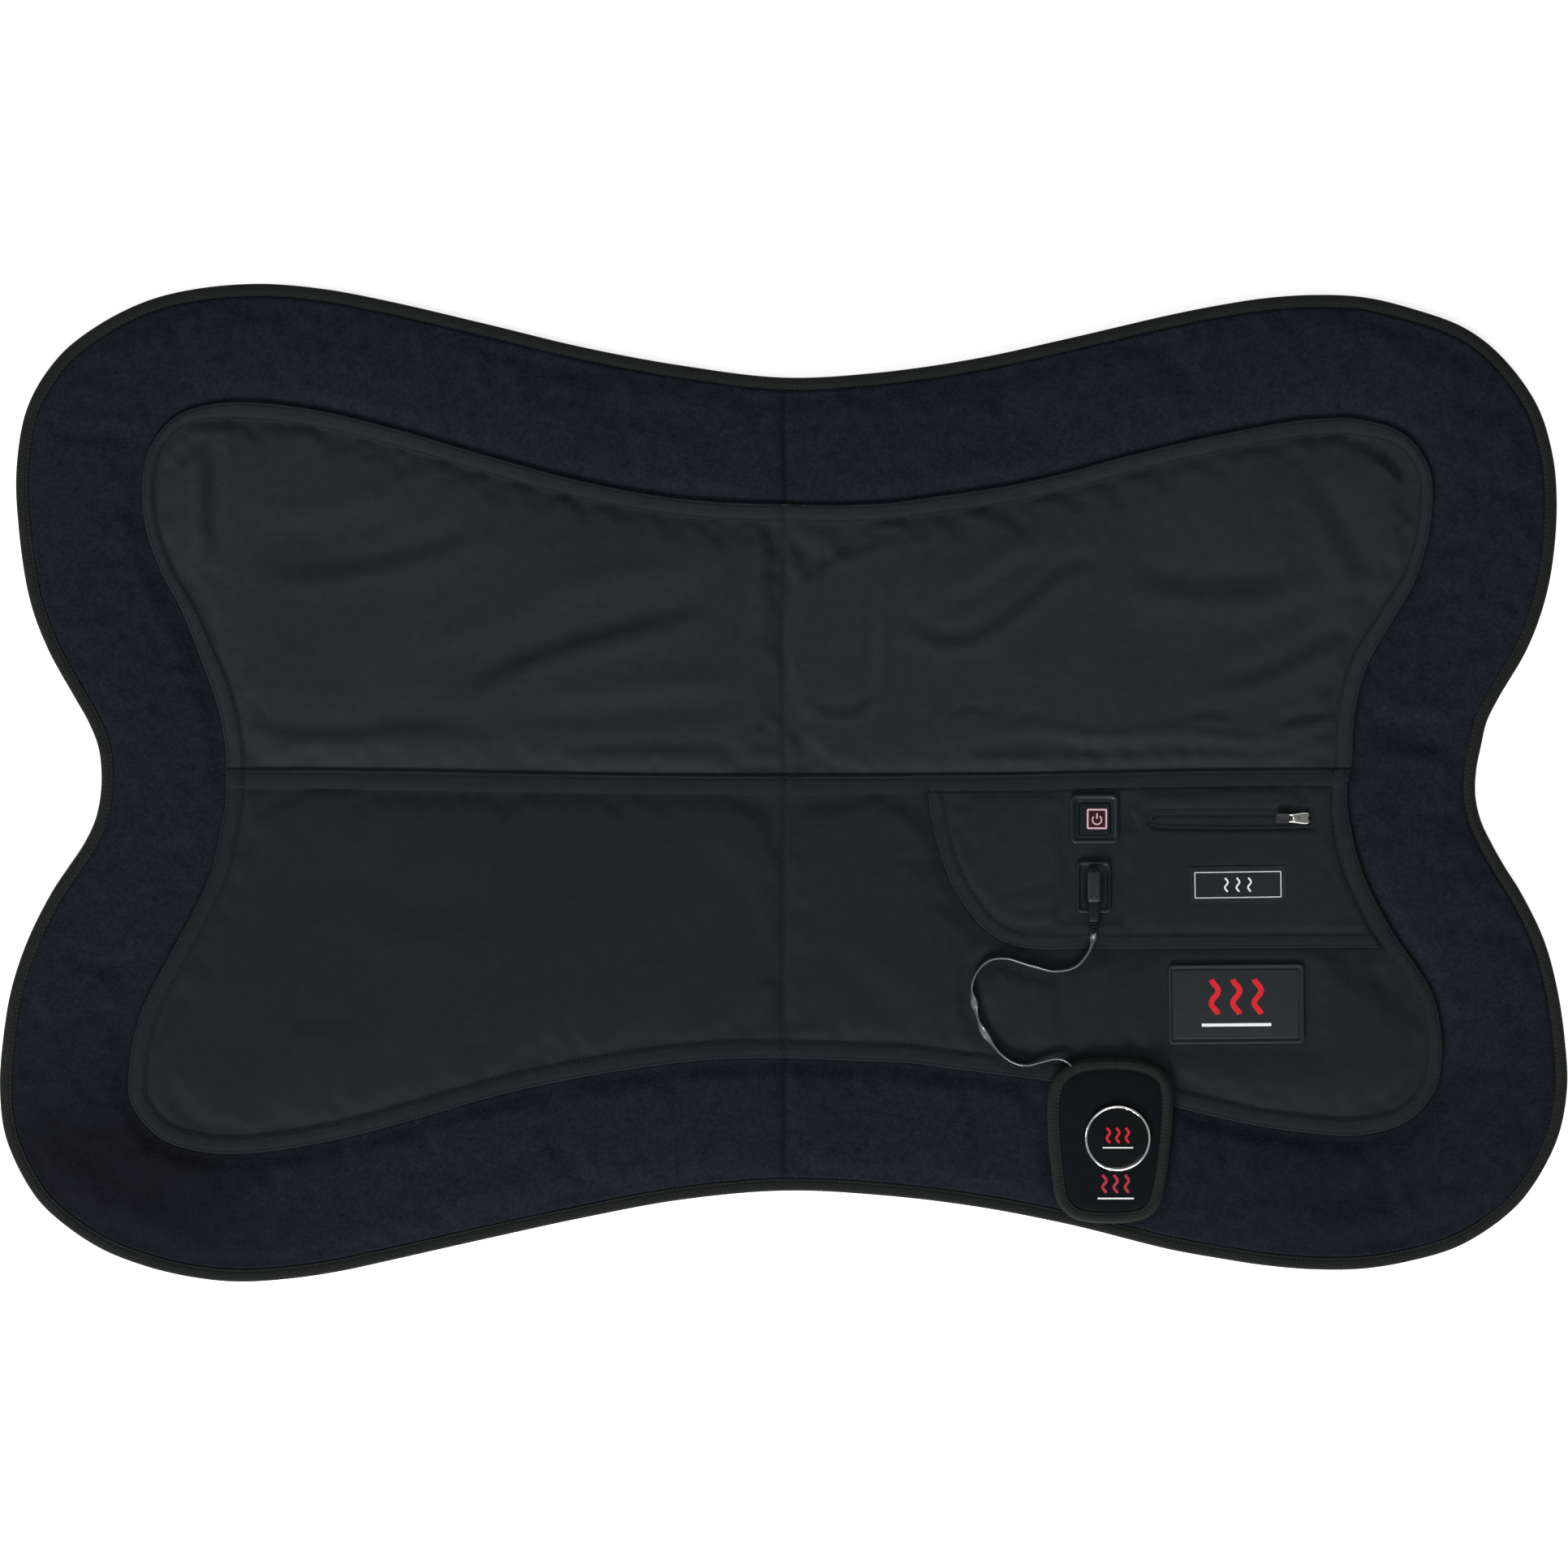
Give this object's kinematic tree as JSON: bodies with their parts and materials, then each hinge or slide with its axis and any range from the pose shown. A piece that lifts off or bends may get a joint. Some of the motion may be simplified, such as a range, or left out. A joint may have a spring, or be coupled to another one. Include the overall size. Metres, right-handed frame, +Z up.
{
  "type": "infrared therapy pad",
  "caption": "Butterfly-shaped quilted infrared therapy pad with a woven centre, bound border, zipped battery pocket, switch, socket and a small corded hand pad.",
  "frame": {"origin": "middle of the outline's box, on the surface the pad lies on", "axes": "+X along the pad's length, towards the half with pocket and switch; +Y towards the upper edge; +Z up, out of the outer face"},
  "size_m": [0.95, 0.6048, 0.0192],
  "materials": {
    "lining": "smooth black polyester",
    "border_fabric": "matt loop-faced laminate, very dark navy",
    "foam": "open-cell foam",
    "binding": "ribbed black tape",
    "woven_cover": "plain-weave polyester, charcoal with a green cast",
    "wire": "flat wire ribbon",
    "led_board": "white solder mask",
    "clear_film": "clear flexible film",
    "case": "fine texture",
    "circuit_board": "green solder mask",
    "soft_plastic": "satin moulded black",
    "plug_plastic": "satin overmould",
    "light_guide": "red lit diffuser",
    "steel": "plated",
    "cable_jacket": "glossy flat cable",
    "battery_wrap": "shrink wrap",
    "zip_tape": "knitted tape",
    "zip_coil": "nylon coil",
    "zip_chrome": "polished",
    "zip_puller": "grey rubber dip",
    "label": "woven satin label",
    "patch_rubber": "moulded soft rubber",
    "hand_pad_face": "satin black laminate",
    "puck_gloss": "high gloss",
    "chrome": "polished"
  },
  "bodies": {
    "right_half": {"lining_right": "lining", "border_right": "border_fabric", "foam_right": "foam", "binding_right": "binding", "upper_cover_right": "woven_cover", "lower_cover_right": "woven_cover", "harness_right": "wire", "pocket_panel": "woven_cover", "led_strip_upper_right_inner": "led_board", "window_upper_right_inner": "clear_film", "led_strip_upper_right_outer": "led_board", "window_upper_right_outer": "clear_film", "led_strip_lower_right_inner": "led_board", "window_lower_right_inner": "clear_film", "led_strip_lower_right_outer": "led_board", "window_lower_right_outer": "clear_film", "control_box": "case", "control_lid": "case", "main_board": "circuit_board", "tact_switch": "case", "button_bezel": "soft_plastic", "socket_frame": "soft_plastic", "usb_port": "steel", "flat_cable": "cable_jacket", "battery_pack": "battery_wrap", "battery_lead": "wire", "zip_tape_upper": "zip_tape", "zip_tape_lower": "zip_tape", "zip_coil": "zip_coil", "woven_label": "label", "rubber_patch": "patch_rubber", "hand_pad_face": "hand_pad_face", "hand_pad_foam": "foam", "hand_pad_lining": "lining", "hand_pad_binding": "binding", "hand_pad_led_board": "led_board", "hand_pad_window": "clear_film", "puck_cover": "puck_gloss", "puck_ring": "chrome"},
    "left_half": {"lining_left": "lining", "border_left": "border_fabric", "foam_left": "foam", "binding_left": "binding", "upper_cover_left": "woven_cover", "lower_cover_left": "woven_cover", "harness_left": "wire", "led_strip_upper_left_inner": "led_board", "window_upper_left_inner": "clear_film", "led_strip_upper_left_outer": "led_board", "window_upper_left_outer": "clear_film", "led_strip_lower_left_inner": "led_board", "window_lower_left_inner": "clear_film", "led_strip_lower_left_outer": "led_board", "window_lower_left_outer": "clear_film"},
    "power_key": {"power_button": "soft_plastic", "button_light_guide": "light_guide"},
    "zip_runner": {"zip_slider": "zip_chrome"},
    "zip_pull": {"zip_puller": "zip_puller"},
    "cord_plug": {"plug_body": "plug_plastic", "plug_shell": "steel"}
  },
  "joints": [
    {"name": "centre_fold", "type": "hinge", "parent": "right_half", "child": "left_half", "pos_m": [0, 0, 0.01], "axis": [0, 1, 0], "range_deg": [0, 170]},
    {"name": "power_press", "type": "slide", "parent": "right_half", "child": "power_key", "axis": [0, 0, -1], "range_m": [0, 0.001], "stiffness_N_per_m": 2000},
    {"name": "zip_run", "type": "slide", "parent": "right_half", "child": "zip_runner", "axis": [-1, 0, 0], "range_m": [0, 0.078]},
    {"name": "pull_swing", "type": "hinge", "parent": "zip_runner", "child": "zip_pull", "pos_m": [0.3099, -0.0215, 0.0117], "axis": [0, 1, 0], "range_deg": [0, 170]},
    {"name": "plug_pull", "type": "slide", "parent": "right_half", "child": "cord_plug", "axis": [0, 0, 1], "range_m": [0, 0.0065]}
  ]
}
